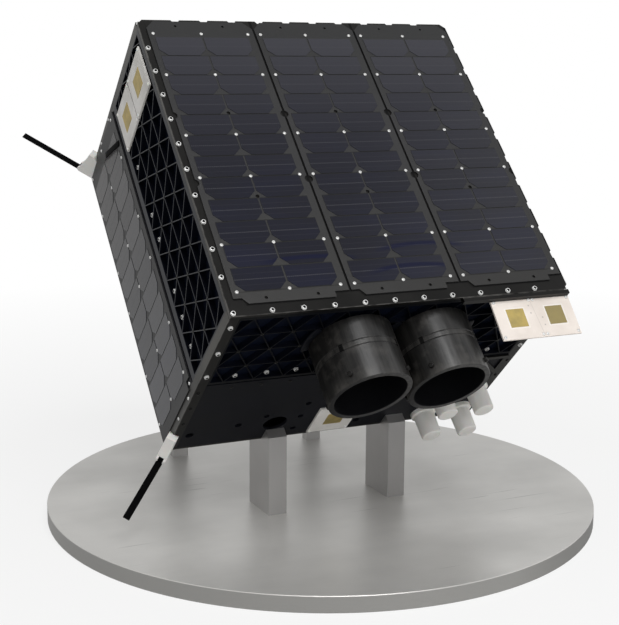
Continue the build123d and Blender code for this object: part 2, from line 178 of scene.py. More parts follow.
class Finish:
    """A material under construction, around one Principled shader."""

    def __init__(self, name, **fixed):
        self.material = bpy.data.materials.new(name)
        self.material.use_nodes = True
        self.tree = self.material.node_tree
        self.shader = self.tree.nodes["Principled BSDF"]
        for words, value in fixed.items():
            self.shader.inputs[words.replace("_", " ")].default_value = value

    def node(self, kind, settings=None, values=None, output=0):
        """Adds a node with its settings first, then values or wires in its sockets."""
        made = self.tree.nodes.new(kind)
        for setting, value in (settings or {}).items():
            setattr(made, setting, value)
        for socket, value in (values or {}).items():
            if isinstance(value, Wire):
                self.tree.links.new(value.socket, made.inputs[socket])
            else:
                made.inputs[socket].default_value = value
        return Wire(self, made.outputs[output])

    def math(self, operation, *values, clamp=False):
        settings = {"operation": operation, "use_clamp": clamp}
        return self.node("ShaderNodeMath", settings, dict(enumerate(values)))

    def most(self, first, *others):
        """The largest of the values."""
        for other in others:
            first = self.math("MAXIMUM", first, other)
        return first

    def distance(self, first, second):
        """How long a line is that goes this far in two directions at right angles."""
        return self.math("SQRT", first * first + second * second)

    def rays(self):
        """1 for rays from the camera, for mirrored ones, and for those that went through glass."""
        return [self.node("ShaderNodeLightPath", output=f"Is {kind} Ray")
                for kind in ("Camera", "Glossy", "Transmission")]

    def mix(self, amount, first, second):
        """Goes from the first colour to the second."""
        return self.node("ShaderNodeMix", {"data_type": "RGBA"}, {0: amount, 6: first, 7: second}, 2)

    def feed(self, **wires):
        for words, wire in wires.items():
            self.tree.links.new(wire.socket, self.shader.inputs[words.replace("_", " ")])

    def point(self):
        """The place on the object, in metres."""
        return self.node("ShaderNodeTexCoord", output="Object")

    def body(self):
        """The same place, turned into the directions of the tilted body."""
        turn = math.atan2(ALONG.z, ALONG.y)
        settings = {"vector_type": "TEXTURE"}
        values = {"Vector": self.point(), "Location": CORNER, "Rotation": (turn, 0, 0)}
        return self.node("ShaderNodeMapping", settings, values)

    def stretched(self, vector, scale):
        """A vector with each direction scaled, to draw a pattern out into streaks."""
        return self.node("ShaderNodeVectorMath", {"operation": "MULTIPLY"}, {0: vector, 1: scale})

    def parts(self, vector):
        """The three numbers of a vector."""
        split = self.tree.nodes.new("ShaderNodeSeparateXYZ")
        self.tree.links.new(vector.socket, split.inputs[0])
        return [Wire(self, output) for output in split.outputs]

    def noise(self, vector, scale, detail=2.0, rough=0.5):
        values = {"Vector": vector, "Scale": scale, "Detail": detail, "Roughness": rough}
        return self.node("ShaderNodeTexNoise", None, values)

    def between(self, value, low, high):
        """0 at low, 1 at high, and straight between them."""
        return self.math("MULTIPLY_ADD", value, 1 / (high - low), -low / (high - low), clamp=True)

    def band(self, value, middle, half, soft):
        """1 near the middle of a stripe and 0 outside it, with a soft edge."""
        away = self.math("ABSOLUTE", value - middle)
        return self.between(away, half + soft, half)

    def cycle(self, value):
        return self.math("FRACT", value)

    def bump(self, height, distance):
        values = {"Height": height, "Distance": distance, "Strength": 1.0}
        self.feed(Normal=self.node("ShaderNodeBump", None, values))


def rgb(red, green, blue):
    return (red, green, blue, 1.0)


# %% [markdown]
# ## Floor, sky and lamps
#
# The satellite stands in an empty white studio. The floor is pale and keeps the soft shadow, and further
# off it fades into the white of the sky, so that no horizon shows. Gloss sees a greyer floor, and a sky
# with brighter and darker parts overhead, because the deck, the sides and the plinth mirror such a room in
# the photograph. The deck's right side mirrors a bright stripe of ceiling, and so do its back rows. One
# large lamp hangs over the front, and a weak one lifts the front's own shadow.

# %% Floor
FLOOR_SIZE = 60.0
# How many metres from the middle the floor starts to turn white and is all white
FADE = (0.7, 2.4)
SEEN_GLOW = 0.78
MIRRORED_GLOW = 0.8
MIRRORED_GREY = 0.5
WHITE = rgb(1, 1, 1)

bpy.ops.mesh.primitive_plane_add(size=FLOOR_SIZE)
floor = bpy.context.object
floor.name = "floor"
pale = Finish("pale_floor", Base_Color=rgb(0.82, 0.82, 0.81), Roughness=0.9)
seen, mirrored, through = pale.rays()
east, north, _ = pale.parts(pale.point())
far = pale.between(pale.distance(east, north), *FADE)
white = pale.node("ShaderNodeEmission", None, {"Color": WHITE, "Strength": 1.0})
grey = pale.node("ShaderNodeEmission", None, {"Color": WHITE, "Strength": MIRRORED_GREY})
glow = pale.node("ShaderNodeMixShader", None, {0: seen, 1: grey, 2: white})
seen_glow = seen * (far * (1 - SEEN_GLOW) + SEEN_GLOW)
shown = pale.most(seen_glow, pale.most(mirrored, through) * MIRRORED_GLOW)
blend = pale.node("ShaderNodeMixShader", None, {0: shown, 1: Wire(pale, pale.shader.outputs[0]), 2: glow})
pale.tree.links.new(blend.socket, pale.tree.nodes["Material Output"].inputs["Surface"])
floor.data.materials.append(pale.material)

# %% Sky
SKY_FILL = 0.42
HORIZON = 0.8
CEILING = 0.35
# A direction's x, y or z where each part starts and is full, and how bright a stripe is
RIGHT_STRIPE = (0.45, 0.55)
RIGHT_LIGHT = 0.4
BACK_STRIPE = (-0.09, -0.02)
BACK_LIGHT = 0.5
LOW_SKY = (0.75, 0.5)

world = bpy.data.worlds.new("sky")
world.use_nodes = True
bpy.context.scene.world = world
# The sky has no material, but its nodes are written in the same way
sky = Finish.__new__(Finish)
sky.tree = world.node_tree
x, y, z = sky.parts(sky.node("ShaderNodeTexCoord", output="Generated"))
stripes = sky.most(sky.between(x, *RIGHT_STRIPE) * RIGHT_LIGHT, sky.between(y, *BACK_STRIPE) * BACK_LIGHT)
low_sky = sky.between(z, *LOW_SKY)
gloss = low_sky * HORIZON + (1 - low_sky) * (stripes + CEILING)
glossy_sky = sky.node("ShaderNodeBackground", None, {"Color": gloss, "Strength": 1.0})
fill = sky.node("ShaderNodeBackground", None, {"Color": WHITE, "Strength": SKY_FILL})
backdrop = sky.node("ShaderNodeBackground", None, {"Color": WHITE, "Strength": 1.0})
seen, mirrored, through = sky.rays()
lit = sky.node("ShaderNodeMixShader", None, {0: mirrored, 1: fill, 2: glossy_sky})
lit = sky.node("ShaderNodeMixShader", None, {0: sky.most(seen, through), 1: lit, 2: backdrop})
sky.tree.links.new(lit.socket, world.node_tree.nodes["World Output"].inputs["Surface"])

# %% Lamps: name, place in metres and power in watts
LAMP_SIDE = 1.6
LAMP_TARGET = Vector((0, 0, 0.4))
for name, spot, watts in (
        ("main_lamp", Vector((-0.3, -2.1, 2.9)), 53),
        ("low_lamp", Vector((0.5, -2.9, 0.9)), 14)):
    lamp_data = bpy.data.lights.new(name, "AREA")
    lamp_data.size = LAMP_SIDE
    lamp_data.energy = watts
    lamp = bpy.data.objects.new(name, lamp_data)
    bpy.context.scene.collection.objects.link(lamp)
    lamp.location = spot
    lamp.rotation_euler = (LAMP_TARGET - spot).to_track_quat("-Z", "Y").to_euler()

# %% [markdown]
# ## Bare aluminium
#
# The plinth and the posts are brushed: fine scratches that all run one way. Noise that is stretched along
# one direction gives them, in the roughness and in a very shallow bump. Larger, soft noise is the handling
# marks, and a few thin lines are real scratches. The bare metal is dull, so it is only part metallic: it
# keeps a soft grey of its own under the reflections. The plinth's rim and the posts' front faces get painted
# shade: they are darker than the rest, and the rim is darker still towards +x. The separation ring under the
# body is turned, so its scratches run round.

# %% Brushed and turned metal
PLINTH_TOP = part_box("plinth_disc")[1].z
POST_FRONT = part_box("front_post_left")[0].y
# Where along x the painted shade on the plinth's rim starts to get darker still, and where it is darkest
RIM_SHADE = (0.1, 0.42)
SMEAR_GRAIN = (3.0, 11.0, 3.0)
SCRATCH_GRAIN = (7.0, 190.0, 60.0)
# The ring's grooves are a sine wave, with this many radians to the metre
RING_GROOVES = 9000


def darker(colour, share):
    """A colour with only this share of its light."""
    return tuple(part * share for part in colour[:3]) + (1.0,)


def brushed(name, colour, grain, roughness, metallic, rim=False, front=False):
    """Brushed aluminium, with the grain along the direction where its scale is small."""
    metal = Finish(name, Metallic=metallic)
    point = metal.point()
    x, y, z = metal.parts(point)
    scratches = metal.noise(metal.stretched(point, grain), 1.0, 3.0)
    marks = metal.noise(point, 7.0, 4.0)
    smears = metal.noise(metal.stretched(point, SMEAR_GRAIN), 1.0, 3.0, 0.6)
    handled = metal.between(marks * 0.6 + smears * 0.4, 0.36, 0.66)
    tone = metal.mix(handled, colour, darker(colour, 0.84))
    lines = metal.noise(metal.stretched(point, SCRATCH_GRAIN), 1.0, 1.0)
    patch = metal.between(metal.noise(point, 5.0, 1.0), 0.56, 0.66)
    scratch = metal.between(lines, 0.715, 0.75) * patch
    tone = metal.mix(scratch * 0.7, tone, darker(colour, 0.5))
    if rim:
        # Painted shade: the plinth's rim is darkened, and darker still towards +x
        side = metal.between(z, PLINTH_TOP - 0.8 * MM, PLINTH_TOP - 1.6 * MM)
        shade = metal.between(x, *RIM_SHADE)
        tone = metal.mix(side * (0.9 + shade * 0.1), tone, darker(colour, 0.5))
        tone = metal.mix(side * shade * 0.75, tone, rgb(0.1, 0.098, 0.094))
    if front:
        # Painted shade: the posts' front faces are darkened
        painted_front_shade = metal.between(y, POST_FRONT + 0.8 * MM, POST_FRONT + 0.2 * MM)
        tone = metal.mix(painted_front_shade * 0.8, tone, darker(colour, 0.56))
    metal.feed(
        Base_Color=tone,
        Roughness=scratches * 0.12 + marks * 0.12 + (roughness - 0.12))
    metal.bump(scratches, 0.03 * MM)
    return metal.material


def turned_ring():
    """Aluminium turned on a lathe: its grooves follow the distance from the ring's axis."""
    metal = Finish("turned_ring_metal", Metallic=0.8)
    w, l, _ = metal.parts(metal.body())
    out = metal.distance(w - WIDTH / 2, l - LENGTH / 2)
    rings = metal.math("SINE", out * RING_GROOVES)
    marks = metal.noise(metal.point(), 14.0, 3.0)
    metal.feed(
        Base_Color=metal.mix(marks, rgb(0.66, 0.66, 0.65), rgb(0.52, 0.52, 0.51)),
        Roughness=rings * 0.04 + marks * 0.12 + 0.28)
    metal.bump(rings, 0.01 * MM)
    return metal.material


# %% [markdown]
# ## Black plates and rails
#
# The plates are aluminium under a black anodised layer. It isn't an even black: it has a fine speckle, it
# is paler where hands rub it, and its edges are paler, partly worn to bare metal and partly a painted
# highlight. An edge is where a point lies close to two of the body's six faces at once. The frame's outer
# sides get a painted sheen, a warm grey in patches. Dark seams run under the deck, where it rests on the
# rails, and painted shadow darkens the gaps between the deck's panels and the lines below their feet. The
# isogrid is the same metal, but its colour carries painted light and shade: its pockets get painted shade,
# bluer towards their floor, which hardly any light reaches, while the tops of the ribs get a painted sheen.
# The ribs of the front and back get painted shade, so they are darker and duller than those of the sides.

# %% Anodised black
# Across the deck: where the first panel starts, the panels' pitch, and a gap's place from a panel's start
PANEL_START = 12 * MM
PANEL_PITCH = 188.86 * MM
GAP_MIDDLE = 186.9 * MM
GAP_HALF = 2.6 * MM
# Down the deck: where a gap ends, and the painted shadow line below a panel, which steps up at the panel's
# corners
GAP_END = 553.5 * MM
FOOT_LINE = 563.9 * MM
FOOT_STEP = 10 * MM
# Below the isogrid's face: where the ribs' tops and their painted sheen end, where the floors' painted shade
# turns blue, and the thickness of the front and back panels, whose ribs get painted shade
RIB_TOP = (0.6 * MM, 0.2 * MM)
POCKET_WALL = (4.0 * MM, 9.8 * MM)
PANEL_THICKNESS = (12.0 * MM, 10.5 * MM)


def face_distances(finish):
    """How far a point of the body lies from the nearest face across, along and inwards."""
    w, l, h = finish.parts(finish.body())
    return [finish.math("ABSOLUTE", finish.math("MINIMUM", value, size - value))
            for value, size in ((w, WIDTH), (l, LENGTH), (h, HEIGHT))]


def across_panel(finish, w, start):
    """How far across its own panel of the deck a point lies, from a start on the first panel."""
    return finish.cycle((w - start) / PANEL_PITCH) * PANEL_PITCH


def panel_shadows(black):
    """Painted shadow: the dark lines in the gaps between the deck's panels and below their stepped feet."""
    w, l, h = black.parts(black.body())
    start = across_panel(black, w, PANEL_START)
    gap_shadow = black.band(start, GAP_MIDDLE, GAP_HALF, 0.5 * MM) * black.between(l, GAP_END, GAP_END - 0.5 * MM)
    stepped = black.most(black.between(start, 18 * MM, 15 * MM), black.between(start, 160 * MM, 161 * MM))
    foot = black.band(l + stepped * FOOT_STEP, FOOT_LINE, 0.9 * MM, 0.5 * MM)
    top = black.between(h, 0.5 * MM, 0.1 * MM) * black.between(w, PANEL_START - 1 * MM, PANEL_START)
    return black.most(gap_shadow, foot) * top


def frame_wear_and_painted_light(black, patches, base):
    """Painted side sheen, worn and highlighted edges, dark seams and painted shadow: the colour, and where
    seams and shadows are.
    """
    across, along, inward = face_distances(black)
    # Painted sheen: the frame's outer sides are lifted to a warm grey, in patches
    painted_side_sheen = black.between(across, 0.4 * MM, 0.1 * MM) * black.between(patches, 0.2, 0.6)
    base = black.mix(painted_side_sheen * 0.8, base, rgb(0.1, 0.096, 0.087))
    # The edges are paler: worn bare metal broken up by noise, and a painted highlight where light catches
    # them
    near = [black.between(value, 1.6 * MM, 0.6 * MM) for value in (across, along, inward)]
    edges = black.most(near[0] * near[1], near[1] * near[2], near[0] * near[2])
    edge_wear_and_highlight = edges * black.between(black.noise(black.point(), 60.0, 3.0), 0.3, 0.6)
    base = black.mix(edge_wear_and_highlight * 0.6, base, rgb(0.12, 0.116, 0.11))
    side = black.between(black.math("MINIMUM", across, along), 2 * MM, 1 * MM)
    seam = black.band(inward, DECK, 0.3 * MM, 0.3 * MM) * side
    # The seams under the deck and the painted shadow round the panels both turn near black
    seam_and_shadow = black.most(seam, panel_shadows(black))
    return black.mix(seam_and_shadow * 0.95, base, rgb(0.0005, 0.0005, 0.0006)), seam_and_shadow


def anodised(name, colour, rubbed, gloss, roughness, wear_and_painted_light=False):
    """Black anodised aluminium: a speckle and soft rubbed patches between two tones."""
    black = Finish(name, Specular_IOR_Level=gloss)
    point = black.point()
    speckle = black.noise(point, 900.0, 2.0)
    patches = black.noise(point, 9.0, 5.0, 0.65)
    base = black.mix(black.between(patches * 0.7 + speckle * 0.3, 0.38, 0.66), colour, rubbed)
    dull = (speckle - 0.5) * 0.16 + (patches - 0.5) * 0.2 + roughness
    # On the frame: wear and painted light, a sheen on the sides, an edge highlight and shadow round the
    # panels
    if wear_and_painted_light:
        base, seam_and_shadow = frame_wear_and_painted_light(black, patches, base)
        dull = dull + seam_and_shadow * 0.5
    black.feed(Base_Color=base, Roughness=dull)
    black.bump(speckle, 0.04 * MM)
    return black.material


def isogrid_black():
    """The pocketed panels: ribs with a painted sheen, painted shade on black walls and bluish floors, told
    apart by their depth.
    """
    black = Finish("isogrid_black", Specular_IOR_Level=0.06, Coat_Roughness=0.3)
    across, along, _ = face_distances(black)
    depth = black.math("MINIMUM", across, along)
    speckle = black.noise(black.point(), 700.0, 2.0)
    rib = black.between(depth, *RIB_TOP)
    dull = black.between(along, *PANEL_THICKNESS)
    # Painted shade in the pockets, bluer on their floors
    pocket_shade = black.mix(
        black.between(depth, *POCKET_WALL), rgb(0.0026, 0.0034, 0.0072), rgb(0.0036, 0.0056, 0.0135))
    # Painted sheen on the rib tops, and painted shade on those of the front and back panels
    rib_sheen_and_shade = black.mix(dull, rgb(0.026, 0.028, 0.034), rgb(0.004, 0.0045, 0.006))
    black.feed(
        Base_Color=black.mix(rib, pocket_shade, rib_sheen_and_shade),
        Roughness=speckle * 0.2 + 0.5,
        Coat_Weight=rib * (0.46 - dull * 0.34))
    black.bump(speckle, 0.04 * MM)
    return black.material


# %% [markdown]
# ## Solar panels
#
# A panel is a dark laminate board. On it sit cells of dark blue silicon under a cover glass, cropped at two
# corners, with a painted shadow in the gap below each row. Each cell has a row of soldering spots along its
# middle, fine collector fingers across it, and a tone of its own. A painted reflection makes the upper rows
# paler and the lower ones bluer, and the boards darker at the deck's head. Three dark blue arcs cross the
# deck's last rows, two on the middle panel and one on the left, as a painted reflection of the room in the
# coating. The cells' pitch places the lines of the cells, so they are worked out from the body's directions
# and not drawn as a picture.

# %% Laminate and cells
# The cells' pitch, the share of it that a cell fills, and the first cell's corner on the deck and the sides
CELL_PITCH = (82.88 * MM, 41.89 * MM)
CELL_SHARE = (80.15 * MM / CELL_PITCH[0], 40.15 * MM / CELL_PITCH[1])
FIRST_CELL = (21.6 * MM, 41.0 * MM)
FIRST_SIDE_CELL = (223.4 * MM, 46.0 * MM)
# The middle of a panel's cells, from the panel's start, and how far they reach to each side
CELLS_MIDDLE = 91.1 * MM
CELLS_REACH = 81.5 * MM
FINGER_PITCH = 1.6 * MM
SPOT_PITCH = 3.3 * MM
# The weave is a sine wave both ways, with this many radians to the metre
WEAVE = 5200
# Each painted reflection arc: its place down the deck, the place of its middle across the deck, and its
# bend, in millimetres
REFLECTION_ARCS = ((477, 345, 700), (516, 320, 600), (489, 150, 900))


def laminate():
    """The boards: satin black resin over a fine weave, paler at the deck's rims, darker at its head by
    painted reflection.
    """
    board = Finish("panel_laminate", Specular_IOR_Level=0.42)
    w, l, h = board.parts(board.body())
    weave = board.math("SINE", w * WEAVE) * board.math("SINE", (l + h) * WEAVE)
    cloud = board.noise(board.point(), 11.0, 3.0)
    on_deck = board.between(h, 4 * MM, 1 * MM)
    rim = 1 - board.between(h, -0.2 * MM, -1.4 * MM)
    edge = board.between(board.noise(board.point(), 40.0, 2.0), 0.3, 0.7)
    resin = board.mix(cloud, rgb(0.013, 0.013, 0.014), rgb(0.019, 0.019, 0.02))
    resin = board.mix(rim * on_deck * edge * 0.6, resin, rgb(0.045, 0.042, 0.036))
    row = board.cycle((l - FIRST_CELL[1]) / CELL_PITCH[1])
    columns = board.band(across_panel(board, w, PANEL_START), CELLS_MIDDLE, CELLS_REACH, 0.5 * MM)
    rows = board.between(l, FIRST_CELL[1], FIRST_CELL[1] + 2 * MM) * on_deck
    # Painted shadow in the gap below each row of cells
    gap_shadow = board.between(row, CELL_SHARE[1], CELL_SHARE[1] + 0.008) * columns * rows
    resin = board.mix(gap_shadow * 0.9, resin, rgb(0.001, 0.001, 0.001))
    # Painted reflection: the boards are darker towards the deck's head and paler towards its foot
    head = board.between(l, 0.2, 0.03) * on_deck
    resin = board.mix(head * 0.6, resin, rgb(0.006, 0.0064, 0.0068))
    foot = board.between(l, 0.33, 0.57) * on_deck
    board.feed(
        Base_Color=board.mix(foot, resin, rgb(0.0165, 0.0161, 0.0155)),
        Roughness=cloud * 0.16 + weave * 0.03 + gap_shadow * 0.4 + 0.36)
    board.bump(weave, 0.02 * MM)
    return board.material


def cell_lines(cell, panel, short_way):
    """How much of a fine metal line shows: the busbar with its spots, two thin wires and the fingers."""
    middle = CELL_SHARE[1] / 2
    spots = cell.band(cell.cycle(panel / SPOT_PITCH), 0.5, 0.2, 0.15)
    busbar = cell.band(short_way, middle, 0.014, 0.01) * (spots * 0.6 + 0.4)
    wires = cell.band(cell.math("ABSOLUTE", short_way - middle), middle / 2, 0.006, 0.006)
    fingers = cell.band(cell.cycle(panel / FINGER_PITCH), 0.5, 0.04, 0.04)
    return busbar, busbar * 0.35 + wires * 0.1 + fingers * 0.03


def silicon(name, on_deck):
    """The cells, on the deck or on the sides, where they stand on end."""
    cell = Finish(name, Specular_IOR_Level=0.1, Coat_Roughness=0.08, Coat_IOR=1.5)
    w, l, h = cell.parts(cell.body())
    first = FIRST_CELL if on_deck else FIRST_SIDE_CELL
    panel = across_panel(cell, w, first[0]) if on_deck else h - first[0]
    column = panel / CELL_PITCH[0]
    row = (l - first[1]) / CELL_PITCH[1]
    long_way = cell.cycle(column)
    short_way = cell.cycle(row)
    number = cell.math("FLOOR", row) * 7.31 + cell.math("FLOOR", column) * 3.17
    number = number + cell.math("FLOOR", w / PANEL_PITCH)
    tone = cell.cycle(cell.math("SINE", number) * 437.5)
    bloom = cell.noise(cell.stretched(cell.body(), (7.0, 16.0, 7.0)), 1.0, 2.0)
    # Towards the deck's foot the cells are pushed bluer, as part of a painted reflection
    blue = cell.between(bloom + cell.between(l, 0.25, 0.6) * 0.3, 0.55, 0.9)
    dark = cell.mix(blue, rgb(0.0042, 0.0046, 0.0125), rgb(0.004, 0.0052, 0.021))
    toned = cell.mix(tone * 0.5, dark, rgb(0.002, 0.0024, 0.0075))
    busbar, metal = cell_lines(cell, panel, short_way)
    lined = cell.mix(metal, toned, rgb(0.1, 0.1, 0.11))
    # Painted reflection: the upper rows of the deck and the back of the sides are paler
    painted_sheen = rgb(0.0165, 0.0168, 0.027) if on_deck else rgb(0.026, 0.0205, 0.0205)
    lined = cell.mix(cell.between(l, 0.36, 0.05) * 0.75, lined, painted_sheen)
    inner_long = cell.band(long_way, CELL_SHARE[0] / 2, CELL_SHARE[0] / 2 - 0.012, 0.004)
    inner_short = cell.band(short_way, CELL_SHARE[1] / 2, CELL_SHARE[1] / 2 - 0.02, 0.008)
    rim = 1 - inner_long * inner_short
    colour = cell.mix(rim * 0.5, lined, rgb(0.012, 0.0124, 0.014))
    gloss = 0.8 - 0.1 * tone
    if on_deck:
        # Painted reflection: dark blue arcs where the coating mirrors the room, with less gloss
        for start, middle, bend in REFLECTION_ARCS:
            away = w - middle * MM
            reflection_arc = cell.band(l - away * away / (bend * MM), start * MM, 2.2 * MM, 3 * MM)
            reflection_arc = reflection_arc * cell.between(cell.math("ABSOLUTE", away), 85 * MM, 50 * MM)
            colour = cell.mix(reflection_arc * 0.85, colour, rgb(0.004, 0.0055, 0.026))
            gloss = gloss * (1 - reflection_arc * 0.6)
    cell.feed(Base_Color=colour, Roughness=0.3 + busbar * 0.2 + tone * 0.06, Coat_Weight=gloss)
    return cell.material


# %% [markdown]
# ## Baffles and lenses
#
# The baffles are short tubes with a satin black coat that shows streaks and pale scuffs along the tube, and
# is duller on the left flank. A shallow groove with a slot in each quarter runs round them. Inside they are
# matt, with fine threads that trap stray light, and the rim is a little paler. The lenses are nearly black
# glass with a violet coating.

# %% Black coats and dark glass
# The baffles' places across the body and in from the deck, and their radii, in millimetres
BAFFLE_CENTRES = (222.0, 358.5)
BAFFLE_DEPTH = 90.0
BAFFLE_BORE = 57.2
BAFFLE_RADIUS = 66.3
GROOVE = LENGTH + 42.5 * MM
MOUTH = (LENGTH + 80 * MM, LENGTH + 102 * MM)
THREAD = 4200
STREAK_GRAIN = (150.0, 9.0, 150.0)


def baffle_coat():
    """Satin black outside, matt black with fine threads inside."""
    coat = Finish("baffle_coat", Specular_IOR_Level=0.12, Coat_Roughness=0.32, Coat_IOR=1.6)
    w, l, h = coat.parts(coat.body())
    left, right = (centre * MM for centre in BAFFLE_CENTRES)
    on_right = coat.math("GREATER_THAN", w, (left + right) / 2)
    aside = w - (on_right * (right - left) + left)
    below = h - BAFFLE_DEPTH * MM
    out = coat.distance(aside, below)
    outside = coat.between(out, (BAFFLE_BORE + 0.2) * MM, (BAFFLE_BORE + 1.2) * MM)
    skin = coat.between(out, (BAFFLE_RADIUS - 1.2) * MM, (BAFFLE_RADIUS - 0.6) * MM)
    streaks = coat.noise(coat.stretched(coat.body(), STREAK_GRAIN), 1.0, 4.0, 0.65)
    smudges = coat.noise(coat.point(), 34.0, 5.0, 0.65)
    shell = coat.mix(
        coat.between(streaks, 0.4, 0.68), rgb(0.003, 0.0029, 0.0028), rgb(0.011, 0.0103, 0.0096))
    shell = coat.mix(coat.between(smudges, 0.52, 0.72), shell, rgb(0.032, 0.0297, 0.0273))
    mouth_wear = coat.between(l, *MOUTH) * skin * coat.between(smudges, 0.35, 0.6)
    shell = coat.mix(mouth_wear * 0.6, shell, rgb(0.05, 0.047, 0.043))
    shell = coat.mix(outside * (1 - skin) * 0.7, shell, rgb(0.012, 0.012, 0.0135))
    groove = coat.band(l, GROOVE, 4.2 * MM, 0.4 * MM) * coat.between(streaks, 0.35, 0.65)
    shell = coat.mix(groove * 0.4, shell, rgb(0.06, 0.057, 0.053))
    quarter = coat.cycle(coat.math("ARCTAN2", below, aside) * (2 / math.pi) + 4)
    slot = coat.band(quarter, 0.5, 0.03, 0.006) * coat.band(l, GROOVE, 5.6 * MM, 0.4 * MM) * skin
    shell = coat.mix(slot, shell, rgb(0.0005, 0.0005, 0.0005))
    flank = coat.between(aside / out, -0.95, -0.2) * 0.85 + 0.15
    thread = coat.math("SINE", l * THREAD) * (1 - outside)
    coat.feed(
        Base_Color=coat.mix(outside, rgb(0.0005, 0.0006, 0.0017), shell),
        Roughness=0.7 - outside * 0.2 + smudges * outside * 0.14,
        Coat_Weight=outside * (coat.between(streaks, 0.3, 0.75) * 0.5 + 0.5) * flank * (1 - slot))
    coat.bump(thread + streaks * outside * 0.25 + smudges * outside * 0.3, 0.2 * MM)
    return coat.material


def coated_glass():
    """A front lens: almost black, with a cloudy violet coating."""
    glass = Finish(
        "coated_glass", Roughness=0.06, Specular_IOR_Level=0.6, Coat_Weight=1.0, Coat_Roughness=0.02)
    cloud = glass.noise(glass.point(), 20.0, 2.0)
    glass.feed(Base_Color=glass.mix(cloud, rgb(0.002, 0.002, 0.005), rgb(0.006, 0.003, 0.012)))
    return glass.material


# %% [markdown]
# ## White plastic, white boards and gold
#
# The radomes and the antenna brackets are a milky plastic: a matt white with a little light under its
# surface and faint lines from the cutter. The patch boards are white laminate, grubby in places, with a
# pale frame round each gold square. The gold is dull, brushed one way and a little stained, and the right
# square of the shelf is the darkest. Between the shelf's squares a thin seam and a few plated dots run
# across the board. The shelf droops by a few degrees, so its marks are measured along its own slope.

# %% White and gold
CUTTER = 7000
BOARD_WEAVE = 4300
SOFT = 0.3 * MM
# Across the body, the other boards lie before these places, and the shelf lies beyond them
SHELF_SIDE = (400 * MM, 420 * MM)
# On the shelf: the seam and its lean, the dots, and where the right square starts across the body
SEAM = 70.5 * MM
SEAM_LEAN = 0.09
DOTS = ((65.7, 18), (65.7, 31), (84, 40), (84, 53))
LAST_SQUARE = (500 * MM, 510 * MM)


def milky():
    """Machined white plastic, with faint rings from the cutter down its length."""
    plastic = Finish(
        "milky_plastic", Specular_IOR_Level=0.35, Subsurface_Weight=0.08, Subsurface_Scale=0.01)
    _, l, _ = plastic.parts(plastic.body())
    cutter = plastic.math("SINE", l * CUTTER)
    cloud = plastic.noise(plastic.point(), 26.0, 3.0)
    grain = plastic.noise(plastic.point(), 1100.0, 2.0)
    plastic.feed(
        Base_Color=plastic.mix(cloud, rgb(0.87, 0.86, 0.83), rgb(0.79, 0.775, 0.745)),
        Roughness=grain * 0.16 + 0.46)
    plastic.bump(cutter * 0.4 + grain, 0.03 * MM)
    return plastic.material


def white_laminate():
    """The patch boards: creamy white with a fine glass weave and slightly grubby patches."""
    board = Finish("white_laminate", Specular_IOR_Level=0.4)
    w, l, h = board.parts(board.body())
    weave = board.math("SINE", w * BOARD_WEAVE) * board.math("SINE", (l + h) * BOARD_WEAVE)
    cloud = board.noise(board.point(), 24.0, 4.0)
    shelf = board.between(w, *SHELF_SIDE)
    white = board.mix(shelf, rgb(0.82, 0.8, 0.77), rgb(0.84, 0.77, 0.71))
    grubby = board.mix(shelf, rgb(0.64, 0.62, 0.59), rgb(0.71, 0.64, 0.58))
    tone = board.mix(board.between(cloud, 0.35, 0.75), white, grubby)
    u = w - SHELF_START.x
    v = (l - SHELF_START.y) * math.cos(SHELF_DROOP) + (h - SHELF_START.z) * math.sin(SHELF_DROOP)
    # Each square's middle and half along two directions, in millimetres, and the board that it is on
    for first, middle, half, second, centre, reach, on_board in (
            (u, 37.5, 18.2, v, 37.6, 17.9, shelf),
            (u, 109.7, 18.0, v, 37.6, 17.9, shelf),
            (l, 81.5, 20.3, h, 61.0, 20.3, 1 - shelf),
            (l, 81.5, 20.3, h, 145.5, 20.3, 1 - shelf)):
        square = board.band(first, middle * MM, half * MM, SOFT)
        square = square * board.band(second, centre * MM, reach * MM, SOFT)
        tone = board.mix(square * on_board * 0.5, tone, rgb(0.93, 0.9, 0.86))
    seam = board.band(u - v * SEAM_LEAN, SEAM, 0.25 * MM, SOFT)
    dots = board.most(*[
        board.between(board.distance(u - dot_u * MM, v - dot_v * MM), 1.7 * MM, 0.9 * MM)
        for dot_u, dot_v in DOTS])
    tone = board.mix(board.most(seam * 0.35, dots * 0.6) * shelf, tone, rgb(0.3, 0.27, 0.26))
    board.feed(Base_Color=tone, Roughness=cloud * 0.16 + 0.34)
    board.bump(weave, 0.02 * MM)
    return board.material


def gold_plate():
    """Dull gold plating over copper, brushed across the board."""
    gold = Finish("gold_plate", Metallic=0.7)
    brush = gold.noise(gold.stretched(gold.body(), (40.0, 1500.0, 1500.0)), 1.0, 3.0)
    stain = gold.noise(gold.point(), 60.0, 3.0)
    bright = gold.mix(gold.between(stain, 0.35, 0.7), rgb(0.56, 0.43, 0.15), rgb(0.4, 0.32, 0.13))
    last = gold.between(gold.parts(gold.body())[0], *LAST_SQUARE)
    bright = gold.mix(last * 0.8, bright, rgb(0.32, 0.265, 0.125))
    gold.feed(Base_Color=bright, Roughness=brush * 0.2 + stain * 0.15 + 0.28)
    gold.bump(brush, 0.02 * MM)
    return gold.material


